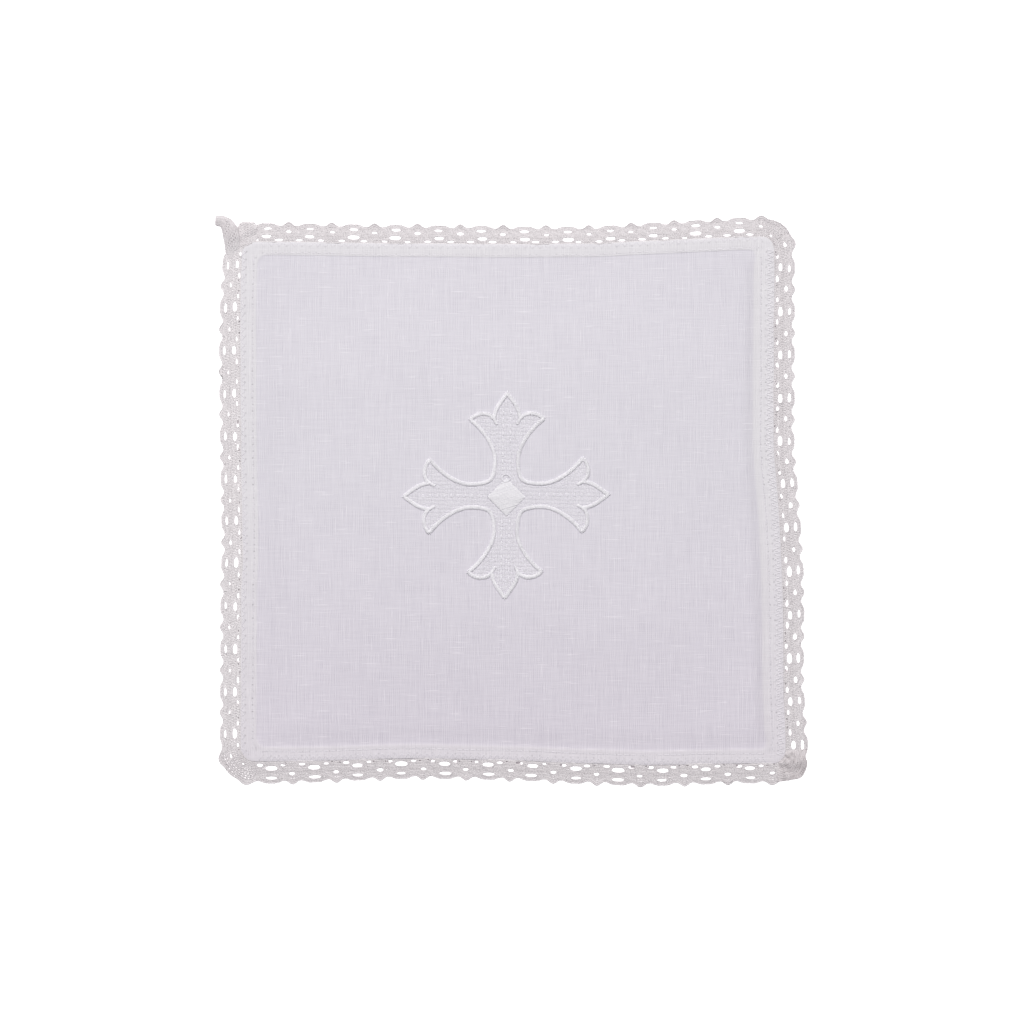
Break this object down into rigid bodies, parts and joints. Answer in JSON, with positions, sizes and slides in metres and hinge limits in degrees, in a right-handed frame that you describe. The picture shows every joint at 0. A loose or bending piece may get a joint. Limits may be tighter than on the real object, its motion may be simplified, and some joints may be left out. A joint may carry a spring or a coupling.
{
  "type": "chalice pall",
  "caption": "Stiff square linen cover laid over a chalice, with a turned hem, a torchon lace edging and a white embroidered cross fleury.",
  "frame": {"origin": "centre of the pall's box, on the surface that it lies on", "axes": "+Z out of the embroidered face, +X to the right and +Y up as the cross is seen upright"},
  "size_m": [0.178, 0.1712, 0.0034],
  "materials": {
    "linen_cover": "plain woven bleached linen, matt",
    "lace_edging": "matt cotton torchon lace",
    "cross_outline": "white satin stitch cord",
    "cross_ground": "light stitched ground, soft sheen",
    "cross_lozenge": "white satin stitch, soft sheen"
  },
  "bodies": {
    "root": {"linen_cover": "linen_cover", "lace_edging": "lace_edging", "cross_outline": "cross_outline", "cross_ground": "cross_ground", "cross_lozenge": "cross_lozenge"}
  },
  "joints": []
}
